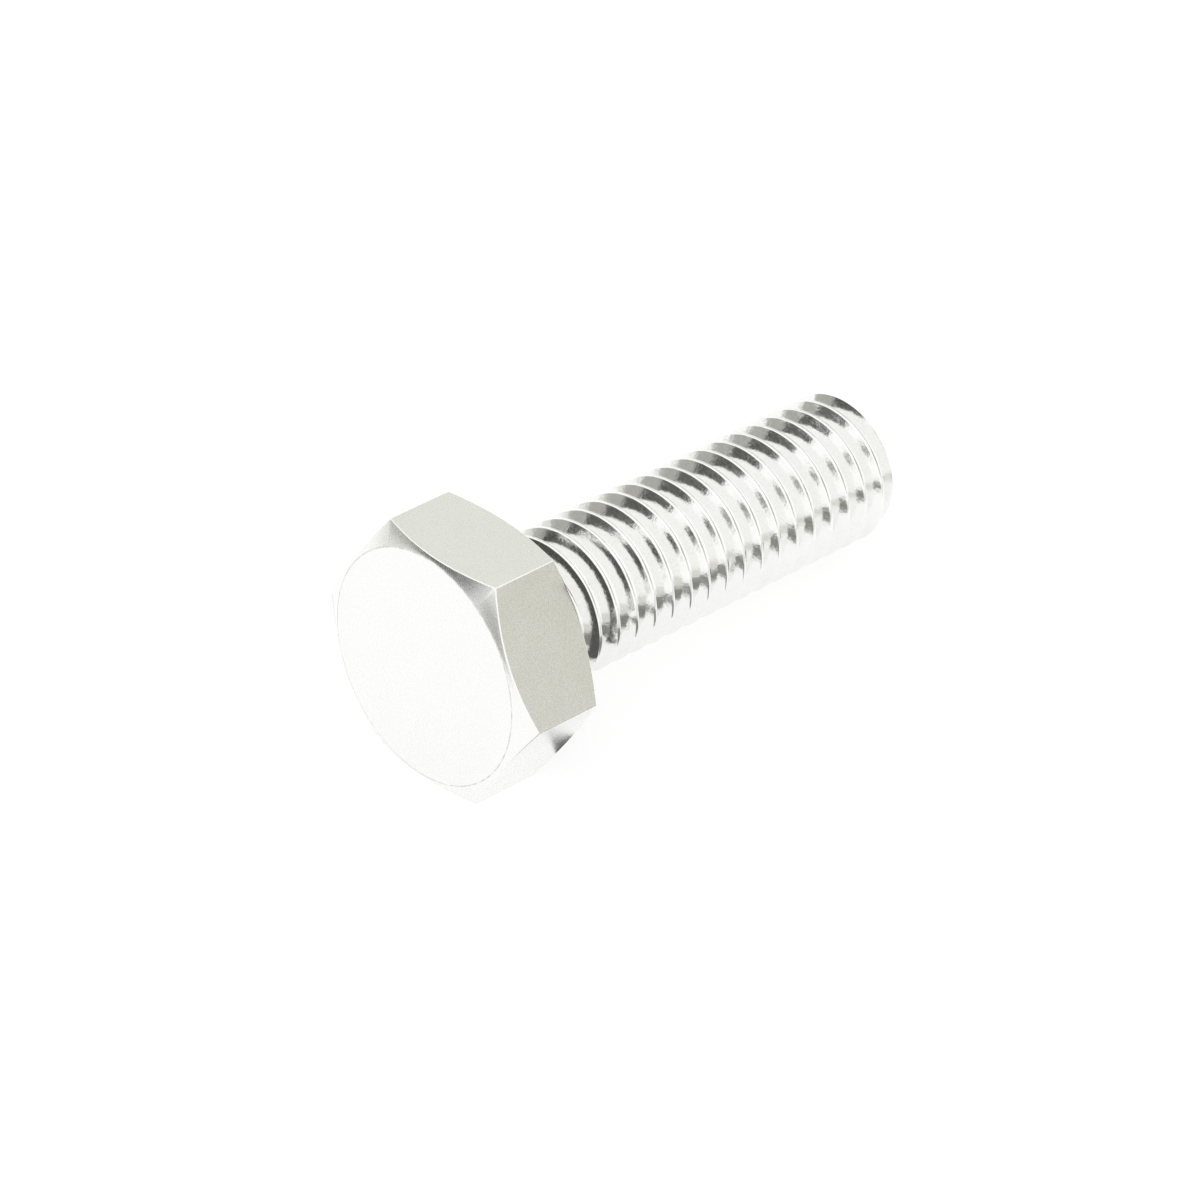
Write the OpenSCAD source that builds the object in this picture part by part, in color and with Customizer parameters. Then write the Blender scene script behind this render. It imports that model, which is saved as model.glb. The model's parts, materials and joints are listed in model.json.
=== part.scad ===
// Hexagon head bolt, threaded all the way to its head.
// The bolt lies along +Y. The origin is the centre of the bearing face under the head:
// the head fills -Y, the shank runs out along +Y, and one flat of the hexagon faces up, +Z.

/* [Head] */
// Width of the head across two opposite flats
head_across_flats = 12.85; // [11:0.05:18]
// Height of the head, from its bearing face to its top face
head_height = 5.25; // [4:0.05:9]
// Distance from a flat of the hexagon in to the chamfered edge of the round top face
top_face_inset = 0.225; // [0.05:0.025:1]
// Slope of the chamfer around the top face, in degrees below that face
top_chamfer_slope = 30; // [15:1:35]
// Distance from a flat of the hexagon in to the chamfered edge of the bearing face
bearing_face_inset = 0.55; // [0.05:0.05:1]
// Slope of the chamfer around the bearing face, in degrees above that face
bearing_chamfer_slope = 25; // [10:1:35]
// Depth that the shank's root is set into the head
root_depth = 2; // [1:0.1:3]

/* [Shank] */
// Length of the bolt, from the bearing face to the end of its point
shank_length = 24.7; // [12:0.1:80]
// Length of the plain neck between the bearing face and the thread
neck_length = 0.8; // [0.6:0.1:10]
// Radius of the fillet where the neck runs into the bearing face
underhead_fillet = 0.4; // [0.2:0.05:0.5]
// Length of the cone that takes the neck down to the thread's root
neck_cone_length = 0.5; // [0.3:0.1:2]

/* [Thread] */
// Nominal diameter of the thread
thread_nominal_dia = 8; // [6.5:0.1:9.6]
// Distance from one turn of the thread to the next
thread_pitch = 1.25; // [0.75:0.05:1.5]
// Amount that the thread's crests stay under the nominal diameter, so that a nut runs on
thread_allowance = 0.14; // [0:0.01:0.24]
// Number of turns over which the thread rises to its full height beside the neck
run_in_turns = 0.6; // [0.4:0.1:2]
// Angle about the shank at which the thread starts, in degrees
thread_start_angle = 260; // [0:5:355]

/* [Point] */
// Slope of the chamfer at the point, in degrees from the bolt's axis
point_slope = 45; // [30:1:50]
// Depth that the point's chamfer goes below the root of the thread
point_drop = 0.265; // [0.1:0.005:1]
// Width of the flat rim around the shallow dish that thread rolling leaves in the end
dish_rim = 0.7; // [0.2:0.05:1]
// Depth of that dish
dish_depth = 0.25; // [0.1:0.05:0.6]

/* [Hidden] */

// Facets of a round face, and steps of the thread in one turn
round_facets = 96;
turn_steps = 40;

// The metric thread form: 60 degrees between flanks, a crest an eighth of the pitch wide
flank_half_angle = 30;
crest_width = thread_pitch / 8;
thread_depth = 0.61343 * thread_pitch;
crest_radius = (thread_nominal_dia - thread_allowance) / 2;
root_radius = crest_radius - thread_depth;
// The blank that the thread is rolled from has nearly the pitch diameter
neck_radius = crest_radius - 0.32476 * thread_pitch;
fillet_outer_radius = neck_radius + underhead_fillet;

// The thread's foot lies a little way inside the core, so that the two make one body
foot_sink = 0.06;
foot_radius = root_radius - foot_sink;
foot_width = crest_width + 2 * (crest_radius - foot_radius) * tan(flank_half_angle);
// Least height of a faded crest over the thread's foot
least_rise = 0.02;

// The point starts where its chamfer reaches the root of the thread
point_end_radius = root_radius - point_drop;
point_length = point_drop / tan(point_slope);
point_start = shank_length - point_length;

// The middle of the thread's first turn, clear of the neck, and the last step before it fades
neck_gap = 0.05;
thread_start = neck_length + neck_gap + foot_width / 2;
last_foot_share = 0.2;
thread_end = point_start + foot_width * (0.5 - last_foot_share);
last_step = floor((thread_end - thread_start) / thread_pitch * turn_steps);
// Places across the foot of the thread of its two feet and the two edges of its crest
crest_share = crest_width / foot_width;
section_shares = [0, 0.5 - crest_share / 2, 0.5 + crest_share / 2, 1];

// Turns what is drawn standing along +Z so that it lies along +Y
module lie_along_y() {
    rotate([-90, 0, 0])
        children();
}

// A hexagonal bar cut to the double cone that chamfers both ends of the head
module hex_head() {
    corner_radius = head_across_flats / 2 / cos(30);
    turned_radius = corner_radius + 1;
    top_face_radius = head_across_flats / 2 - top_face_inset;
    bearing_face_radius = head_across_flats / 2 - bearing_face_inset;
    top_cut = (turned_radius - top_face_radius) * tan(top_chamfer_slope);
    bearing_cut = (turned_radius - bearing_face_radius) * tan(bearing_chamfer_slope);
    color("gainsboro")
        lie_along_y()
            difference() {
                intersection() {
                    translate([0, 0, -head_height])
                        cylinder(h = head_height, r = corner_radius, $fn = 6);
                    rotate_extrude($fn = round_facets)
                        polygon([
                            [0, -head_height],
                            [top_face_radius, -head_height],
                            [turned_radius, top_cut - head_height],
                            [turned_radius, -bearing_cut],
                            [bearing_face_radius, 0],
                            [0, 0]
                        ]);
                }
                translate([0, 0, -root_depth])
                    cylinder(h = root_depth + 1, r = fillet_outer_radius, $fn = round_facets);
            }
}

// The plain neck, its fillet, and the root that fills the head's socket
module neck() {
    fillet_steps = 12;
    fillet_arc = [
        for (i = [0 : fillet_steps])
            let (angle = 90 * i / fillet_steps)
                [
                    fillet_outer_radius - underhead_fillet * sin(angle),
                    underhead_fillet * (1 - cos(angle))
                ]
    ];
    color("silver")
        lie_along_y() {
            translate([0, 0, -root_depth])
                cylinder(h = root_depth, r = fillet_outer_radius, $fn = round_facets);
            rotate_extrude($fn = round_facets)
                polygon(concat(
                    [[0, 0]],
                    fillet_arc,
                    [[neck_radius, neck_length], [0, neck_length]]
                ));
        }
}

// The round core that carries the thread, with the cone that joins it to the neck
module shank_core() {
    color("darkgray")
        lie_along_y()
            rotate_extrude($fn = round_facets)
                polygon([
                    [0, neck_length],
                    [neck_radius, neck_length],
                    [root_radius, neck_length + neck_cone_length],
                    [root_radius, point_start],
                    [0, point_start]
                ]);
}

// Radius of the thread's flanks and crest at a distance along the bolt from a turn's middle
function form_radius(along) =
    crest_radius - max(0, abs(along) - crest_width / 2) / tan(flank_half_angle);

// Radius of the point's chamfer at a height along the bolt
function chamfer_radius(height) =
    point_end_radius + (shank_length - height) * tan(point_slope);

// Radius of the thread at one place of its section, faded in beside the neck
function thread_radius(step, middle, along) =
    let (
        full = min(form_radius(along), chamfer_radius(middle + along)),
        fade = min(1, step / turn_steps / run_in_turns)
    )
    foot_radius + max(least_rise, (full - foot_radius) * fade);

// The four corners of the thread's section at one step along its helix
function thread_section(step) =
    let (
        angle = thread_start_angle + 360 * step / turn_steps,
        middle = thread_start + thread_pitch * step / turn_steps,
        lower = -foot_width / 2,
        upper = min(foot_width / 2, point_start - middle)
    )
    [
        for (share = section_shares)
            let (
                along = lower + (upper - lower) * share,
                is_foot = share == 0 || share == 1,
                radius = is_foot ? foot_radius : thread_radius(step, middle, along)
            )
                [radius * cos(angle), radius * sin(angle), middle + along]
    ];

// The right-handed helical ridge, swept step by step and closed at both ends
module thread() {
    corners = len(section_shares);
    points = [
        for (step = [0 : last_step])
            each thread_section(step)
    ];
    sides = [
        for (step = [0 : last_step - 1])
            for (i = [0 : corners - 1])
                let (
                    a = step * corners + i,
                    b = step * corners + (i + 1) % corners
                )
                    each [[a, b, b + corners], [a, b + corners, a + corners]]
    ];
    last = last_step * corners;
    ends = [[0, 2, 1], [0, 3, 2], [last, last + 1, last + 2], [last, last + 2, last + 3]];
    color("darkgray")
        lie_along_y()
            polyhedron(points = points, faces = concat(sides, ends));
}

// The chamfered end of the shank, with its shallow dish
module point() {
    dish_radius = point_end_radius - dish_rim;
    color("silver")
        lie_along_y()
            rotate_extrude($fn = round_facets)
                polygon([
                    [0, point_start],
                    [root_radius, point_start],
                    [point_end_radius, shank_length],
                    [dish_radius, shank_length],
                    [dish_radius - dish_depth, shank_length - dish_depth],
                    [0, shank_length - dish_depth]
                ]);
}

hex_head();
neck();
shank_core();
thread();
point();
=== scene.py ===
"""A hexagon head bolt, threaded to its head, lying on a pale studio floor.

The bolt lies along +Y with the centre of its bearing face at the origin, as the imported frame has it.
Every size is in metres and comes from the frame's boxes and mounts, or is a named value of the part
of the bolt that it belongs to. The pieces are modelled standing along +Z and laid down when finished.
"""

from __future__ import annotations

import json
import logging
import math
from dataclasses import dataclass
from enum import Enum
from typing import Any, ClassVar

import bpy
from mathutils import Matrix, Vector

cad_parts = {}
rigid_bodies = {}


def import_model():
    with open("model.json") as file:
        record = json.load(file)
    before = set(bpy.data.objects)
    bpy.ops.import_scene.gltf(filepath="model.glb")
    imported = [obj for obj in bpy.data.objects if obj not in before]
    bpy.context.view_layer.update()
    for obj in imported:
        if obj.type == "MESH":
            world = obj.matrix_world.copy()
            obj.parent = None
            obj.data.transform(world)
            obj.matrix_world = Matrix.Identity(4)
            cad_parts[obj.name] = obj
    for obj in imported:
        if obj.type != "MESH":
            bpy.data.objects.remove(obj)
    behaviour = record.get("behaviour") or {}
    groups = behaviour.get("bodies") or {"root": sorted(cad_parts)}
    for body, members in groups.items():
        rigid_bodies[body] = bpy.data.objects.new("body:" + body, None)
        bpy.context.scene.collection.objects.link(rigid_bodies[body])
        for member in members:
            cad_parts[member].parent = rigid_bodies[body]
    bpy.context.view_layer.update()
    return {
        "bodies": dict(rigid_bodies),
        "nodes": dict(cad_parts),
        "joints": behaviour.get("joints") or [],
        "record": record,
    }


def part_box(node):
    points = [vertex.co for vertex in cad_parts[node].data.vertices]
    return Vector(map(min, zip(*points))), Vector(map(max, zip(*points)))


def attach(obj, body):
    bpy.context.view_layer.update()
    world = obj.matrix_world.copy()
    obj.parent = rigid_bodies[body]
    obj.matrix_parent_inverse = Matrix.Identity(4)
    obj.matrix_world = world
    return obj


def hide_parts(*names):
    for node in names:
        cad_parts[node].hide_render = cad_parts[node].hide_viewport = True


MM = 0.001
BODY = "bolt"
PITCH = 1.25 * MM

log = logging.getLogger("hex_bolt")


class Slot(Enum):
    """The material slots that the bolt's record declares."""

    HEAD = "head_steel"
    SHANK = "thread_steel"


# ---------------------------------------------------------------------------------------------
# Modelling
# ---------------------------------------------------------------------------------------------


class Bench:
    """The modelling operations that the pieces are made with."""

    MERGE_DISTANCE = 0.0005 * MM
    FLAT_ANGLE = 0.4

    @staticmethod
    def clear_selection() -> None:
        """Leave edit mode and deselect every object."""
        if bpy.context.object and bpy.context.object.mode != "OBJECT":
            bpy.ops.object.mode_set(mode="OBJECT")
        for item in bpy.context.scene.objects:
            item.select_set(False)

    @staticmethod
    def take(piece: bpy.types.Object) -> None:
        """Make one piece the only selected object, and the active one.

        Args:
            piece: The piece to select.
        """
        Bench.clear_selection()
        piece.select_set(True)
        bpy.context.view_layer.objects.active = piece

    @staticmethod
    def edit(piece: bpy.types.Object, mode: str = "FACE") -> None:
        """Enter edit mode on a piece with nothing selected.

        Args:
            piece: The piece to edit.
            mode: What is selected in edit mode: VERT, EDGE or FACE.
        """
        Bench.take(piece)
        bpy.ops.object.mode_set(mode="EDIT")
        bpy.ops.mesh.select_mode(type=mode)
        bpy.ops.mesh.select_all(action="DESELECT")

    @staticmethod
    def leave() -> None:
        """Go back to object mode."""
        bpy.ops.object.mode_set(mode="OBJECT")

    @staticmethod
    def named(name: str) -> bpy.types.Object:
        """Name the active object and its mesh, and apply its place.

        Args:
            name: The name of both.

        Returns:
            The active object.
        """
        piece = bpy.context.object
        piece.name = name
        piece.data.name = name
        bpy.ops.object.transform_apply(location=True, rotation=True, scale=True)
        return piece

    @staticmethod
    def grow_ring(radius: float, factor: float, rise: float) -> float:
        """Extrude the selected cap along +Z and scale it about the axis.

        Args:
            radius: The cap's radius now.
            factor: The ratio of its new radius to its old one.
            rise: How far it moves up.

        Returns:
            The cap's new radius.
        """
        bpy.ops.mesh.extrude_region_move(TRANSFORM_OT_translate={"value": (0, 0, rise)})
        bpy.ops.transform.resize(value=(factor, factor, 1), center_override=(0, 0, 0))
        return radius * factor

    @staticmethod
    def turned(name: str, outline: list[tuple[float, float]], facets: int) -> bpy.types.Object:
        """Make a turned solid that stands along +Z.

        Args:
            name: The name of the new object.
            outline: The radius and height of each of its rings, from one flat end to the other.
            facets: The number of facets round the axis.

        Returns:
            The new object, closed at both ends.
        """
        Bench.clear_selection()
        radius, height = outline[0]
        bpy.ops.mesh.primitive_circle_add(
            vertices=facets, radius=radius, fill_type="NGON", location=(0, 0, height)
        )
        piece = Bench.named(name)
        bpy.ops.object.mode_set(mode="EDIT")
        bpy.ops.mesh.select_mode(type="FACE")
        bpy.ops.mesh.select_all(action="SELECT")
        for ring_radius, ring_height in outline[1:]:
            radius = Bench.grow_ring(radius, ring_radius / radius, ring_height - height)
            height = ring_height
        Bench.face_outwards()
        Bench.leave()
        return piece

    @staticmethod
    def face_outwards() -> None:
        """Merge the doubles of the mesh in edit mode and turn all of its faces outwards."""
        bpy.ops.mesh.select_all(action="SELECT")
        bpy.ops.mesh.remove_doubles(threshold=Bench.MERGE_DISTANCE)
        bpy.ops.mesh.normals_make_consistent(inside=False)

    @staticmethod
    def finish_with(piece: bpy.types.Object, kind: str, **settings: Any) -> None:
        """Add a modifier to a piece and apply it.

        Args:
            piece: The piece to change.
            kind: The modifier's type.
            **settings: The values of its properties.
        """
        Bench.take(piece)
        modifier = piece.modifiers.new(kind.title(), kind)
        for key, value in settings.items():
            setattr(modifier, key, value)
        bpy.ops.object.modifier_apply(modifier=modifier.name)

    @staticmethod
    def combine(piece: bpy.types.Object, tool: bpy.types.Object, operation: str) -> None:
        """Combine a piece with a tool body, and remove the tool.

        Args:
            piece: The piece to change.
            tool: The body to intersect with, add or take away.
            operation: INTERSECT, UNION or DIFFERENCE.
        """
        Bench.finish_with(piece, "BOOLEAN", object=tool, operation=operation, solver="EXACT")
        bpy.data.objects.remove(tool, do_unlink=True)

    @staticmethod
    def flatten(piece: bpy.types.Object) -> None:
        """Join the faces of a piece that lie in one plane.

        Args:
            piece: The piece to change.
        """
        Bench.edit(piece)
        bpy.ops.mesh.select_all(action="SELECT")
        bpy.ops.mesh.dissolve_limited(angle_limit=math.radians(Bench.FLAT_ANGLE))
        Bench.leave()

    @staticmethod
    def mend(piece: bpy.types.Object) -> None:
        """Dissolve a piece's slivers, merge its seams and turn its faces outwards.

        Args:
            piece: The piece to change.
        """
        Bench.edit(piece)
        bpy.ops.mesh.select_all(action="SELECT")
        bpy.ops.mesh.dissolve_degenerate(threshold=Bench.MERGE_DISTANCE)
        Bench.face_outwards()
        Bench.leave()

    @staticmethod
    def smooth(piece: bpy.types.Object, degrees: float) -> None:
        """Shade a piece smooth, apart from edges sharper than an angle in degrees."""
        Bench.take(piece)
        bpy.ops.object.shade_smooth_by_angle(angle=math.radians(degrees))

    @staticmethod
    def lay_down(piece: bpy.types.Object) -> None:
        """Turn a finished piece from standing along +Z to lying along +Y, in its mesh."""
        piece.data.transform(Matrix.Rotation(math.radians(-90), 4, "X"))
        piece.data.update()


# ---------------------------------------------------------------------------------------------
# Shading
# ---------------------------------------------------------------------------------------------


class Signal:
    """A shader socket that Python arithmetic can be done on."""

    def __init__(self, tree: bpy.types.NodeTree, socket: bpy.types.NodeSocket) -> None:
        """Wrap one output socket of a node tree."""
        self.tree = tree
        self.socket = socket

    def _maths(self, operation: str, first: Any, second: Any) -> Signal:
        """Add a Math node on two values.

        Args:
            operation: The node's operation.
            first: Its first value, a number or a signal.
            second: Its second value, a number or a signal.

        Returns:
            The node's result.
        """
        node = self.tree.nodes.new("ShaderNodeMath")
        node.operation = operation
        for place, value in zip(node.inputs, (first, second)):
            if isinstance(value, Signal):
                self.tree.links.new(value.socket, place)
            else:
                place.default_value = value
        return Signal(self.tree, node.outputs[0])

    def __add__(self, other: Any) -> Signal:
        """Add a number or a signal."""
        return self._maths("ADD", self, other)

    def __sub__(self, other: Any) -> Signal:
        """Take away a number or a signal."""
        return self._maths("SUBTRACT", self, other)

    def __rsub__(self, other: Any) -> Signal:
        """Take this signal away from a number."""
        return self._maths("SUBTRACT", other, self)

    def __mul__(self, other: Any) -> Signal:
        """Multiply by a number or a signal."""
        return self._maths("MULTIPLY", self, other)

    __radd__ = __add__
    __rmul__ = __mul__


class Shader:
    """One procedural material on Object coordinates, built node by node."""

    def __init__(self, name: str) -> None:
        """Start an empty material whose output shows a Principled shader.

        Args:
            name: The material's name.
        """
        self.material = bpy.data.materials.new(name)
        self.material.use_nodes = True
        self.tree = self.material.node_tree
        self.tree.nodes.clear()
        self.surface = self.tree.nodes.new("ShaderNodeBsdfPrincipled")
        output = self.tree.nodes.new("ShaderNodeOutputMaterial")
        self.tree.links.new(self.surface.outputs["BSDF"], output.inputs["Surface"])
        self.place = self.node("ShaderNodeTexCoord", output="Object")

    def node(
        self,
        kind: str,
        settings: dict[str, Any] | None = None,
        inputs: dict[str, Any] | None = None,
        output: str | int = 0,
    ) -> Signal:
        """Add one node.

        Args:
            kind: The node's type.
            settings: The properties that are set before its sockets are read.
            inputs: A value or a signal for each named input socket.
            output: The output socket that is wanted.

        Returns:
            That output as a signal.
        """
        node = self.tree.nodes.new(kind)
        for key, value in (settings or {}).items():
            setattr(node, key, value)
        for key, value in (inputs or {}).items():
            self._feed(node.inputs[key], value)
        return Signal(self.tree, node.outputs[output])

    def _feed(self, socket: bpy.types.NodeSocket, value: Any) -> None:
        """Link a signal to a socket, or set the socket's own value.

        Args:
            socket: The input socket.
            value: The signal or the value that it takes.
        """
        if isinstance(value, Signal):
            self.tree.links.new(value.socket, socket)
        else:
            socket.default_value = value

    def noise(self, size: float, detail: float = 2, stretch: tuple[float, ...] = (1, 1, 1)) -> Signal:
        """Add a noise pattern whose blobs are about a given size.

        Args:
            size: The size of a blob, in metres.
            detail: The number of finer layers.
            stretch: How much finer than that it is along X, Y and Z.

        Returns:
            A signal around a half.
        """
        place = self.node(
            "ShaderNodeMapping", inputs={"Vector": self.place, "Scale": stretch}
        )
        return self.node(
            "ShaderNodeTexNoise",
            inputs={"Vector": place, "Scale": 1 / size, "Detail": detail},
        )

    def ramp(self, value: Signal, low: float, high: float) -> Signal:
        """Stretch a signal so that its values run from 0 to 1, with its ends held.

        Args:
            value: The signal.
            low: The value that becomes 0.
            high: The value that becomes 1.

        Returns:
            The stretched signal.
        """
        return self.node(
            "ShaderNodeMapRange",
            {"clamp": True},
            {"Value": value, "From Min": low, "From Max": high},
        )

    def mix(self, share: Signal, first: Any, second: Any) -> Signal:
        """Mix two colours.

        Args:
            share: The share of the second colour.
            first: The first colour, a signal or three numbers.
            second: The second colour, a signal or three numbers.

        Returns:
            The mixed colour.
        """
        first, second = (
            colour if isinstance(colour, Signal) else (*colour, 1.0) for colour in (first, second)
        )
        return self.node(
            "ShaderNodeMix", {"data_type": "RGBA"}, {0: share, 6: first, 7: second}, 2
        )

    def bump(self, height: Signal, depth: float, under: Signal | None = None) -> Signal:
        """Turn a height pattern into a normal.

        Args:
            height: The pattern, around 0 to 1.
            depth: The height of its hills, in metres.
            under: A normal that it adds to.

        Returns:
            The bumped normal.
        """
        inputs: dict[str, Any] = {"Height": height, "Distance": depth}
        if under is not None:
            inputs["Normal"] = under
        return self.node("ShaderNodeBump", inputs=inputs)

    def finish(self, **sockets: Any) -> bpy.types.Material:
        """Feed the Principled shader's sockets.

        Args:
            **sockets: A value or a signal for each socket, whose name has _ for a space.

        Returns:
            The finished material.
        """
        for key, value in sockets.items():
            self._feed(self.surface.inputs[key.replace("_", " ")], value)
        return self.material


@dataclass(frozen=True)
class SteelFinish:
    """How one surface of plated steel looks."""

    name: str
    bright: tuple[float, float, float]
    dull: tuple[float, float, float]
    roughness: float
    roughness_spread: float
    grain_size: float
    grain_depth: float
    wave_size: float
    wave_depth: float
    cloud_size: float = 1.6 * MM

    def paint_shade(self, shader: Shader, colour: Signal) -> Signal:
        """Add painted shade to the colour; a plain finish paints none.

        Args:
            shader: The material's shader.
            colour: The steel's colour.

        Returns:
            The same colour.
        """
        return colour

    def material(self) -> bpy.types.Material:
        """Build the finish as a procedural material.

        Returns:
            A metal with cloudy colour, uneven gloss, fine grain and slow waves.
        """
        shader = Shader(self.name)
        grain = shader.noise(self.grain_size, 3)
        clouds = shader.ramp(shader.noise(self.cloud_size, 2) * 0.3 + grain * 0.7, 0.35, 0.65)
        waves = shader.noise(self.wave_size, 2)
        roughness = shader.ramp(clouds * 0.5 + grain * 0.5, 0.2, 0.8) * self.roughness_spread
        normal = shader.bump(waves, self.wave_depth)
        normal = shader.bump(grain, self.grain_depth, normal)
        return shader.finish(
            # The finish's painted shade, if it has any, goes into the base colour.
            Base_Color=self.paint_shade(shader, shader.mix(clouds, self.dull, self.bright)),
            Metallic=1.0,
            Roughness=roughness + self.roughness,
            Normal=normal,
        )


@dataclass(frozen=True)
class PaintedEdgeLineFinish(SteelFinish):
    """Steel with a faint dark line painted round the edge of the head's top face, a painted reflection
    of the rounded edge.
    """

    ring_radius: float = 0.0
    ring_width: float = 0.05 * MM
    # The colour of the painted dark reflection line.
    painted_ring_shade: tuple[float, float, float] = (0.42, 0.42, 0.38)
    ring_strength: float = 0.75
    ring_break: float = 0.35 * MM
    fade_start: float = -4.9 * MM
    fade_end: float = -5.1 * MM

    def paint_shade(self, shader: Shader, colour: Signal) -> Signal:
        """Paint the dark reflection line round the top face, broken up by a fine noise.

        Args:
            shader: The material's shader.
            colour: The steel's colour.

        Returns:
            The colour with the line in it.
        """
        flat = shader.node(
            "ShaderNodeVectorMath",
            {"operation": "MULTIPLY"},
            {0: shader.place, 1: (1.0, 0.0, 1.0)},
        )
        reach = shader.node("ShaderNodeVectorMath", {"operation": "LENGTH"}, {0: flat}, "Value")
        off = shader.node("ShaderNodeMath", {"operation": "ABSOLUTE"}, {0: reach - self.ring_radius})
        line = shader.ramp(off, self.ring_width, 0)
        along = shader.node("ShaderNodeSeparateXYZ", {}, {"Vector": shader.place}, "Y")
        front = shader.ramp(along, self.fade_start, self.fade_end)
        broken = shader.ramp(shader.noise(self.ring_break, 3), 0.3, 0.6)
        share = line * front * broken * self.ring_strength
        return shader.mix(share, colour, self.painted_ring_shade)


# The head's finish paints a dark reflection line round the edge of its top face.
HEAD_FINISH = PaintedEdgeLineFinish(
    name="satin_plated_steel",
    bright=(0.92, 0.92, 0.91),
    dull=(0.90, 0.90, 0.88),
    roughness=0.24,
    roughness_spread=0.05,
    grain_size=0.12 * MM,
    grain_depth=0.0012 * MM,
    wave_size=1.2 * MM,
    wave_depth=0.001 * MM,
    ring_radius=6.2 * MM,
)
THREAD_FINISH = SteelFinish(
    name="rolled_bright_steel",
    bright=(0.93, 0.93, 0.92),
    dull=(0.88, 0.88, 0.86),
    roughness=0.10,
    roughness_spread=0.08,
    grain_size=0.12 * MM,
    grain_depth=0.004 * MM,
    wave_size=0.7 * MM,
    wave_depth=0.014 * MM,
)


# ---------------------------------------------------------------------------------------------
# The frame's sizes
# ---------------------------------------------------------------------------------------------


@dataclass(frozen=True)
class BoltSizes:
    """The bolt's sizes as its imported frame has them."""

    across_flats: float
    head_height: float
    socket_radius: float
    socket_depth: float
    neck_length: float
    neck_radius: float
    crest_radius: float
    root_radius: float
    point_start: float
    tip: float
    thread_turn: float

    CREST_SHARE: ClassVar[float] = 0.995

    @classmethod
    def of(cls, frame: dict[str, Any]) -> BoltSizes:
        """Read the sizes from the frame's boxes, its thread mount and its thread node.


        Returns:
            The sizes in metres, with the thread's turn in degrees.
        """
        head_low, head_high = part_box("hex_head")
        neck_low, neck_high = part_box("neck")
        core_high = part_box("shank_core")[1]
        point_low, point_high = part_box("point")
        crest_radius = cls._mount(frame, "external_thread")["dims"]["r_mm"] * MM
        turn = cls._thread_turn(frame["nodes"]["thread"], crest_radius, neck_high[1])
        return cls(
            across_flats=head_high[2] - head_low[2],
            head_height=-head_low[1],
            socket_radius=neck_high[0],
            socket_depth=-neck_low[1],
            neck_length=neck_high[1],
            neck_radius=core_high[0],
            crest_radius=crest_radius,
            root_radius=point_high[0],
            point_start=point_low[1],
            tip=point_high[1],
            thread_turn=turn,
        )

    @staticmethod
    def _mount(frame: dict[str, Any], name: str) -> dict[str, Any]:
        """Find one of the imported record's mounts by its name."""
        return next(entry for entry in frame["record"]["mounts"] if entry["name"] == name)

    @staticmethod
    def _thread_turn(node: bpy.types.Object, crest_radius: float, start: float) -> float:
        """Find the angle at which the thread's crest crosses the end of the neck.

        Args:
            node: The thread's CAD node.
            crest_radius: The radius of its crests.
            start: The distance of the neck's end along +Y.

        Returns:
            The angle in degrees about the shank, standing along +Z.
        """
        across = along = 0.0
        for vertex in node.data.vertices:
            x, y, z = node.matrix_world @ vertex.co
            if math.hypot(x, z) > BoltSizes.CREST_SHARE * crest_radius:
                angle = math.atan2(-z, x) - math.tau * (y - start) / PITCH
                across += math.cos(angle)
                along += math.sin(angle)
        return math.degrees(math.atan2(along, across))


# ---------------------------------------------------------------------------------------------
# The bolt
# ---------------------------------------------------------------------------------------------


@dataclass
class Piece:
    """What every piece of the bolt has: a name, the nodes it stands for and its finish."""

    name: str
    stands_for: tuple[str, ...]
    slot: Slot
    finish: SteelFinish

    def dress(self, made: bpy.types.Object) -> bpy.types.Object:
        """Give a modelled piece its material and its body, and hide the CAD nodes that it stands for.

        Args:
            made: The modelled piece, standing along +Z.

        Returns:
            The same piece, laid along +Y and attached to the bolt's body.
        """
        Bench.lay_down(made)
        made.data.materials.clear()
        made.data.materials.append(self.finish.material())
        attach(made, BODY)
        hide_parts(*self.stands_for)
        log.info("%s: %d faces", made.name, len(made.data.polygons))
        return made


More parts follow.
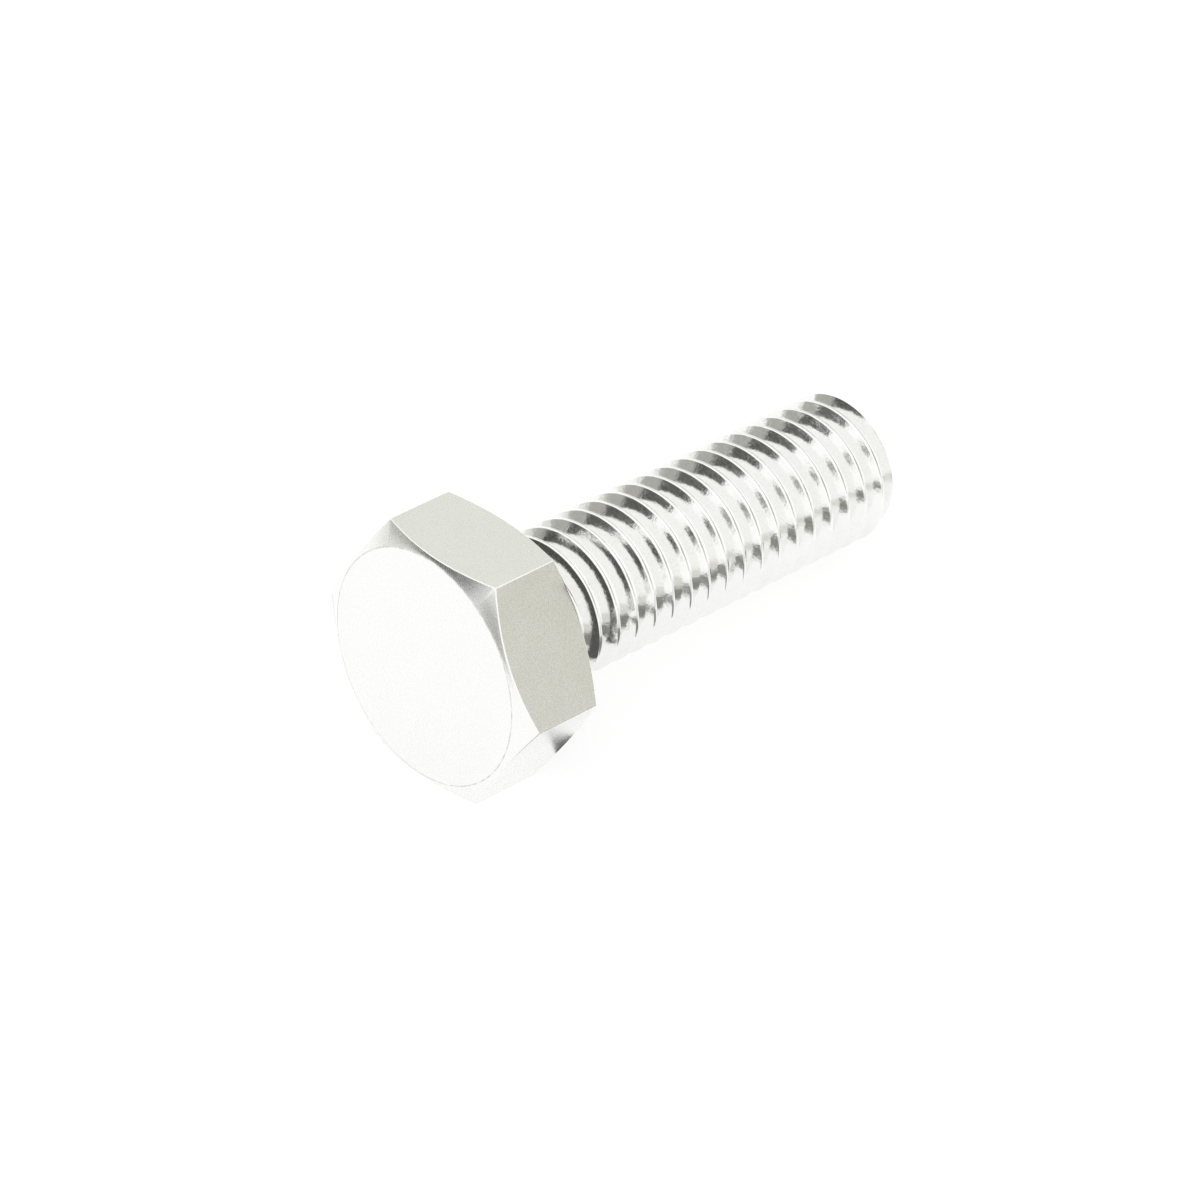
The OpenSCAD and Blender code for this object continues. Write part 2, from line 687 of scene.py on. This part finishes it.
@dataclass
class HexHead(Piece):
    """The hexagon head, turned to a double cone that chamfers its top and its bearing face."""

    across_flats: float
    height: float
    top_inset: float = 0.225 * MM
    top_slope: float = 30
    bearing_inset: float = 0.55 * MM
    bearing_slope: float = 25
    edge_radius: float = 0.05 * MM
    facets: int = 192
    smooth_angle: float = 20

    def corner_radius(self) -> float:
        """Radius of the circle through the hexagon's corners."""
        return self.across_flats / 2 / math.cos(math.radians(30))

    def lathe_outline(self) -> list[tuple[float, float]]:
        """Draw the double cone, from the top face at the bottom to the bearing face.

        Returns:
            The radius and height of each of its rings.
        """
        wide = self.corner_radius() + MM
        top_radius = self.across_flats / 2 - self.top_inset
        bearing_radius = self.across_flats / 2 - self.bearing_inset
        top_rise = (wide - top_radius) * math.tan(math.radians(self.top_slope))
        bearing_drop = (wide - bearing_radius) * math.tan(math.radians(self.bearing_slope))
        return [
            (top_radius, -self.height),
            (wide, top_rise - self.height),
            (wide, -bearing_drop),
            (bearing_radius, 0),
        ]

    def build(self) -> bpy.types.Object:
        """Model the head: a six-sided bar, turned to the cone, with its edges broken.

        Returns:
            The head, standing on its top face along +Z.
        """
        Bench.clear_selection()
        bpy.ops.mesh.primitive_cylinder_add(
            vertices=6,
            radius=self.corner_radius(),
            depth=self.height,
            location=(0, 0, -self.height / 2),
            rotation=(0, 0, math.radians(90)),
        )
        head = Bench.named(self.name)
        cone = Bench.turned("lathe_cone", self.lathe_outline(), self.facets)
        cone.data.transform(Matrix.Rotation(math.pi / self.facets, 4, "Z"))
        Bench.combine(head, cone, "INTERSECT")
        Bench.flatten(head)
        Bench.finish_with(
            head,
            "BEVEL",
            width=self.edge_radius,
            segments=3,
            limit_method="ANGLE",
            angle_limit=math.radians(self.smooth_angle),
        )
        Bench.mend(head)
        Bench.smooth(head, self.smooth_angle)
        Bench.finish_with(head, "WEIGHTED_NORMAL", keep_sharp=True, weight=100)
        return head


@dataclass
class UnderheadNeck(Piece):
    """The plain neck: a root inside the head, a fillet, and a cone down to the thread's root."""

    root_radius: float
    root_depth: float
    neck_radius: float
    length: float
    cone_radius: float
    cone_length: float = 0.7 * MM
    cone_inset: float = 0.02 * MM
    fillet_steps: int = 12
    facets: int = 96
    smooth_angle: float = 25

    def build(self) -> bpy.types.Object:
        """Model the neck as one turned solid.

        Returns:
            The neck, standing along +Z.
        """
        fillet = self.root_radius - self.neck_radius
        outline = [(self.root_radius, -self.root_depth), (self.root_radius, 0.0)]
        for step in range(1, self.fillet_steps + 1):
            angle = math.radians(90 * step / self.fillet_steps)
            outline.append(
                (self.root_radius - fillet * math.sin(angle), fillet * (1 - math.cos(angle)))
            )
        outline += [
            (self.neck_radius, self.length),
            (self.cone_radius - self.cone_inset, self.length + self.cone_length),
        ]
        neck = Bench.turned(self.name, outline, self.facets)
        Bench.smooth(neck, self.smooth_angle)
        return neck


@dataclass
class RolledThread(Piece):
    """The threaded shank: a rounded metric thread between the neck and the point."""

    start: float
    end: float
    crest_radius: float
    pitch: float
    neck_radius: float
    tip_radius: float
    tip: float
    start_angle: float
    steps: int = 96
    crest_flat: float = 0.156 * MM
    crest_rounding: float = 0.06 * MM
    run_in: float = 0.9 * MM
    overlap: float = 0.1 * MM
    neck_inset: float = 0.02 * MM
    crest_clearance: float = 0.05 * MM
    corner_tolerance: float = 0.001 * MM
    depth_share: float = 0.61343
    flank_angle: float = 30
    root_share: float = 0.98
    root_segments: int = 6
    crest_segments: int = 4
    end_share: float = 0.01
    smooth_angle: float = 32

    def root_radius(self) -> float:
        """Radius at the bottom of the thread."""
        return self.crest_radius - self.depth_share * self.pitch

    def ridge(self, name: str) -> bpy.types.Object:
        """Draw one pitch of the thread's outline, from the middle of a root to the next.

        Args:
            name: The name of the new object.

        Returns:
            An open outline in the XZ plane, with its crest half a pitch up.
        """
        Bench.clear_selection()
        bpy.ops.mesh.primitive_plane_add(size=MM, location=(self.root_radius(), 0, 0))
        outline = Bench.named(name)
        bpy.ops.object.mode_set(mode="EDIT")
        bpy.ops.mesh.select_mode(type="VERT")
        bpy.ops.mesh.select_all(action="SELECT")
        bpy.ops.mesh.merge(type="CENTER")
        depth = self.crest_radius - self.root_radius()
        flank = depth * math.tan(math.radians(self.flank_angle))
        half_root = self.pitch / 2 - flank - self.crest_flat / 2
        for step in (
            (0, 0, half_root),
            (depth, 0, flank),
            (0, 0, self.crest_flat),
            (-depth, 0, flank),
            (0, 0, half_root),
        ):
            bpy.ops.mesh.extrude_region_move(TRANSFORM_OT_translate={"value": step})
        root_rounding = half_root * self.root_share
        self._round_corners(outline, self.root_radius(), root_rounding, self.root_segments)
        self._round_corners(outline, self.crest_radius, self.crest_rounding, self.crest_segments)
        Bench.leave()
        return outline

    def _round_corners(
        self, outline: bpy.types.Object, radius: float, offset: float, segments: int
    ) -> None:
        """Round the outline's two corners that lie at a radius.

        Args:
            outline: The outline in edit mode.
            radius: The radius where the corners lie.
            offset: How far from the corner the rounding starts.
            segments: The number of straight steps in it.
        """
        Bench.leave()
        Bench.edit(outline, "VERT")
        Bench.leave()
        inner = (self.end_share * self.pitch, (1 - self.end_share) * self.pitch)
        for vertex in outline.data.vertices:
            near = abs(vertex.co.x - radius) < self.corner_tolerance
            vertex.select = near and inner[0] < vertex.co.z < inner[1]
        bpy.ops.object.mode_set(mode="EDIT")
        bpy.ops.mesh.bevel(
            offset_type="OFFSET", offset=offset, segments=segments, affect="VERTICES"
        )

    def blank_outline(self) -> list[tuple[float, float]]:
        """Draw what the crests stay inside: the run-in cone, the shank and the point's chamfer.

        Returns:
            The radius and height of each of its rings.
        """
        inside_neck = self.neck_radius - self.neck_inset
        clear = self.crest_radius + self.crest_clearance
        return [
            (inside_neck, self.start - 2 * self.overlap),
            (inside_neck, self.start),
            (clear, self.start + self.run_in),
            (clear, self.tip - (clear - self.tip_radius)),
            (self.tip_radius, self.tip),
        ]

    def build(self) -> bpy.types.Object:
        """Model the thread: its outline screwed up the shank, trimmed to the blank's shape.

        Returns:
            The threaded shank, standing along +Z.
        """
        thread = self.ridge(self.name)
        turns = math.ceil((self.end - self.start) / self.pitch) + 3
        Bench.finish_with(
            thread,
            "SCREW",
            axis="Z",
            angle=math.radians(360),
            screw_offset=self.pitch,
            iterations=turns,
            steps=self.steps,
            render_steps=self.steps,
            use_merge_vertices=True,
            merge_threshold=Bench.MERGE_DISTANCE,
        )
        thread.data.transform(
            Matrix.Translation((0, 0, self.start - 1.5 * self.pitch))
            @ Matrix.Rotation(math.radians(self.start_angle), 4, "Z")
        )
        Bench.edit(thread)
        bpy.ops.mesh.select_all(action="SELECT")
        bpy.ops.mesh.remove_doubles(threshold=Bench.MERGE_DISTANCE)
        for height, up in ((self.start - self.overlap, -1), (self.end, 1)):
            bpy.ops.mesh.select_all(action="SELECT")
            bpy.ops.mesh.bisect(plane_co=(0, 0, height), plane_no=(0, 0, up), clear_outer=True)
            bpy.ops.mesh.edge_face_add()
        Bench.face_outwards()
        Bench.leave()
        blank = Bench.turned("blank", self.blank_outline(), 2 * self.steps)
        Bench.combine(thread, blank, "INTERSECT")
        Bench.mend(thread)
        Bench.smooth(thread, self.smooth_angle)
        return thread


@dataclass
class DishedPoint(Piece):
    """The end of the shank: the last of its chamfer, and the shallow dish that rolling leaves."""

    start: float
    start_radius: float
    tip: float
    tip_radius: float
    dish_radius: float = 2.2 * MM
    dish_depth: float = 0.25 * MM
    rounding: float = 0.06 * MM
    facets: int = 192
    smooth_angle: float = 30

    def build(self) -> bpy.types.Object:
        """Model the point: a turned end with its rim and its dish rounded.

        Returns:
            The point, standing along +Z.
        """
        point = Bench.turned(
            self.name,
            [
                (self.start_radius, self.start),
                (self.tip_radius, self.tip),
                (self.dish_radius, self.tip),
                (self.dish_radius - self.dish_depth, self.tip - self.dish_depth),
            ],
            self.facets,
        )
        Bench.finish_with(
            point,
            "BEVEL",
            width=self.rounding,
            segments=4,
            limit_method="ANGLE",
            angle_limit=math.radians(self.smooth_angle),
        )
        Bench.smooth(point, self.smooth_angle)
        return point


# ---------------------------------------------------------------------------------------------
# The studio
# ---------------------------------------------------------------------------------------------


def direction(azimuth: float, elevation: float) -> Vector:
    """Work out a direction away from the bolt.

    Args:
        azimuth: Its angle in plan, in degrees: 0 is -Y and 90 is +X.
        elevation: Its angle above the floor, in degrees.

    Returns:
        The unit vector that way.
    """
    side, rise = math.radians(azimuth), math.radians(elevation)
    return Vector(
        (math.sin(side) * math.cos(rise), -math.cos(side) * math.cos(rise), math.sin(rise))
    )


@dataclass(frozen=True)
class Camera:
    """A long lens on the bolt, placed by the direction that it looks from."""

    aim: tuple[float, float, float] = (2.026 * MM, 3.726 * MM, 1.947 * MM)
    azimuth: float = 42.85
    elevation: float = 34.74
    roll: float = 5.57
    distance: float = 293.4 * MM
    lens: float = 183.5

    def build(self) -> bpy.types.Object:
        """Make the camera and look through it.

        Returns:
            The camera object.
        """
        back = direction(self.azimuth, self.elevation)
        right = direction(self.azimuth + 90, 0)
        roll = Matrix.Rotation(math.radians(self.roll), 3, "Z")
        turn = Matrix((right, back.cross(right), back)).transposed() @ roll
        lens = bpy.data.cameras.new("camera")
        lens.lens = self.lens
        lens.sensor_width = 36
        lens.clip_start, lens.clip_end = 10 * MM, 10
        camera = bpy.data.objects.new("camera", lens)
        camera.matrix_world = Matrix.Translation(
            Vector(self.aim) + back * self.distance
        ) @ turn.to_4x4()
        bpy.context.scene.collection.objects.link(camera)
        bpy.context.scene.camera = camera
        return camera


@dataclass(frozen=True)
class Reflected:
    """A flat sheet of one tone that is seen only in reflections."""

    name: str
    size: tuple[float, float]
    tone: tuple[float, float, float]

    def sheet(self) -> bpy.types.Object:
        """Make the sheet, level and centred on the origin.

        Returns:
            The sheet, hidden from the camera, from diffuse rays and from shadows.
        """
        Bench.clear_selection()
        bpy.ops.mesh.primitive_plane_add(size=1)
        sheet = bpy.context.object
        sheet.name = self.name
        sheet.scale = (*self.size, 1)
        sheet.data.materials.append(
            Shader(self.name).finish(
                Base_Color=(0, 0, 0, 1),
                Roughness=1.0,
                Specular_IOR_Level=0.0,
                Emission_Color=(*self.tone, 1),
                Emission_Strength=1.0,
            )
        )
        sheet.visible_camera = False
        sheet.visible_diffuse = False
        sheet.visible_shadow = False
        return sheet


@dataclass(frozen=True)
class Card(Reflected):
    """A card that stands beside the set and faces it."""

    azimuth: float = 0
    elevation: float = 0
    distance: float = 150 * MM

    def build(self, aim: Vector) -> bpy.types.Object:
        """Make the card.

        Args:
            aim: The point that it faces.

        Returns:
            The card, in place.
        """
        away = direction(self.azimuth, self.elevation)
        card = self.sheet()
        card.rotation_mode = "QUATERNION"
        card.rotation_quaternion = away.to_track_quat("Z", "Y")
        card.location = aim + away * self.distance
        return card


@dataclass(frozen=True)
class Strip(Reflected):
    """A strip that lies on the floor beside the bolt."""

    centre: tuple[float, float] = (0, 0)
    turn: float = 0
    lift: float = 0.05 * MM

    def build(self) -> bpy.types.Object:
        """Make the strip at its place in the plan.

        Returns:
            The strip, on the level through the origin.
        """
        strip = self.sheet()
        strip.location = (*self.centre, 0)
        strip.rotation_euler.z = math.radians(self.turn)
        return strip


CARDS = (
    Card("back_left_card", (150 * MM, 100 * MM), (0.78, 0.79, 0.73), 223, 36),
    Card("back_right_card", (90 * MM, 80 * MM), (0.56, 0.56, 0.48), 130, 16),
    Card("back_flag", (170 * MM, 84 * MM), (0.07, 0.07, 0.064), 181, 11),
    Card("dark_flag", (90 * MM, 66 * MM), (0.10, 0.10, 0.092), 333, 20),
    Card("side_flag", (50 * MM, 50 * MM), (0.42, 0.42, 0.39), 305, 14),
    Card("low_card", (70 * MM, 24 * MM), (0.77, 0.78, 0.72), 304, -0.5),
    Card("front_card", (70 * MM, 58 * MM), (0.36, 0.36, 0.33), 8, 5),
    # This dark sheet stands just in front of the head's bearing face and is seen only in reflections:
    # painted shade under the head.
    Card("bearing_shade", (11 * MM, 11 * MM), (0.08, 0.08, 0.073), 180, 0, -12.1 * MM),
)
STRIPS = (
    # The first strip is a dark sheet on the floor beside the head end of the shank, seen only in
    # reflections: a painted shadow of the bolt on the floor.
    Strip("floor_shadow_strip", (8.5 * MM, 17 * MM), (0.24, 0.24, 0.22), (12.0 * MM, 3 * MM)),
    Strip("right_strip", (28 * MM, 50 * MM), (0.80, 0.80, 0.76), (31 * MM, 20 * MM)),
)


@dataclass
class Studio:
    """The pale floor, the white surroundings and the cards that draw the steel's bands."""

    low_edge: tuple[float, float]
    low_crest: tuple[float, float]
    middle: float
    EDGE_SETBACK: ClassVar[float] = 0.256 * MM
    CREST_SETBACK: ClassVar[float] = 0.35 * MM
    floor_size: float = 0.8
    floor_tone: float = 0.25
    floor_glow: float = 0.80
    sky: float = 1.1
    strips: tuple[Strip, ...] = STRIPS
    cards: tuple[Card, ...] = CARDS

    @classmethod
    def under(cls, sizes: BoltSizes) -> Studio:
        """Fit the studio's floor under the bolt, which rests on its head and its last crests.

        Args:
            sizes: The bolt's sizes.

        Returns:
            The studio.
        """
        half_flats = sizes.across_flats / 2
        thread_depth = sizes.crest_radius - sizes.root_radius
        last_crest = sizes.tip - thread_depth - cls.CREST_SETBACK
        return cls(
            low_edge=(-cls.EDGE_SETBACK, -half_flats),
            low_crest=(last_crest, -sizes.crest_radius),
            middle=sizes.tip / 2,
        )

    def build(self) -> None:
        """Make the floor, the world and the cards."""
        self._floor()
        self._world()
        for strip in self.strips:
            self._lay(strip)
        for card in self.cards:
            card.build(Vector((0, self.middle, 0)))

    def _tilt(self) -> float:
        """Slope of the floor under the lying bolt, in radians."""
        (y0, z0), (y1, z1) = self.low_edge, self.low_crest
        return math.atan2(z1 - z0, y1 - y0)

    def _floor(self) -> None:
        """Lay the floor under the head's lower edge and the thread's last full crest."""
        Bench.clear_selection()
        bpy.ops.mesh.primitive_plane_add(size=self.floor_size)
        floor = bpy.context.object
        floor.name = "floor"
        floor.rotation_euler = (self._tilt(), 0, 0)
        floor.location = (0, *self.low_edge)
        shader = Shader("pale_floor")
        cloud = shader.ramp(shader.noise(20 * MM, 3), 0.3, 0.7)
        pale, paler = (3 * (self.floor_tone,), 3 * (self.floor_tone + 0.02,))
        floor.data.materials.append(
            shader.finish(
                Base_Color=shader.mix(cloud, pale, paler),
                Roughness=0.9,
                Specular_IOR_Level=0.0,
                Emission_Color=(1.0, 1.0, 1.0, 1.0),
                Emission_Strength=self.floor_glow,
            )
        )

    def _lay(self, strip: Strip) -> None:
        """Lay a strip just above the floor.

        Args:
            strip: The strip to lay.
        """
        tilt = self._tilt()
        laid = strip.build()
        laid.rotation_euler.x = tilt
        laid.location.z = (
            self.low_edge[1] + (laid.location.y - self.low_edge[0]) * math.tan(tilt) + strip.lift
        )

    def _world(self) -> None:
        """Surround the set with even white light."""
        world = bpy.data.worlds.new("studio")
        world.use_nodes = True
        background = world.node_tree.nodes["Background"]
        background.inputs["Color"].default_value = (1, 1, 1, 1)
        background.inputs["Strength"].default_value = self.sky
        scene = bpy.context.scene
        scene.world = world
        scene.view_settings.view_transform = "Standard"


def main() -> None:
    """Build the bolt round its frame, light it and look at it."""
    logging.basicConfig(level=logging.INFO, format="%(name)s: %(message)s")
    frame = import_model()
    sizes = BoltSizes.of(frame)
    log.info("thread turned by %.1f degrees", sizes.thread_turn)
    end_drop = sizes.tip - sizes.point_start
    parts = (
        HexHead(
            "head_forging",
            ("hex_head",),
            Slot.HEAD,
            HEAD_FINISH,
            across_flats=sizes.across_flats,
            height=sizes.head_height,
        ),
        UnderheadNeck(
            "underhead_neck",
            ("neck",),
            Slot.SHANK,
            THREAD_FINISH,
            root_radius=sizes.socket_radius,
            root_depth=sizes.socket_depth,
            neck_radius=sizes.neck_radius,
            length=sizes.neck_length,
            cone_radius=sizes.root_radius,
        ),
        RolledThread(
            "rolled_thread",
            ("shank_core", "thread"),
            Slot.SHANK,
            THREAD_FINISH,
            start=sizes.neck_length,
            end=sizes.point_start,
            crest_radius=sizes.crest_radius,
            pitch=PITCH,
            neck_radius=sizes.neck_radius,
            tip_radius=sizes.root_radius - end_drop,
            tip=sizes.tip,
            start_angle=sizes.thread_turn,
        ),
        DishedPoint(
            "dished_point",
            ("point",),
            Slot.SHANK,
            THREAD_FINISH,
            start=sizes.point_start,
            start_radius=sizes.root_radius,
            tip=sizes.tip,
            tip_radius=sizes.root_radius - end_drop,
        ),
    )
    for part in parts:
        part.dress(part.build())
    Camera().build()
    Studio.under(sizes).build()


if __name__ == "__main__":
    main()
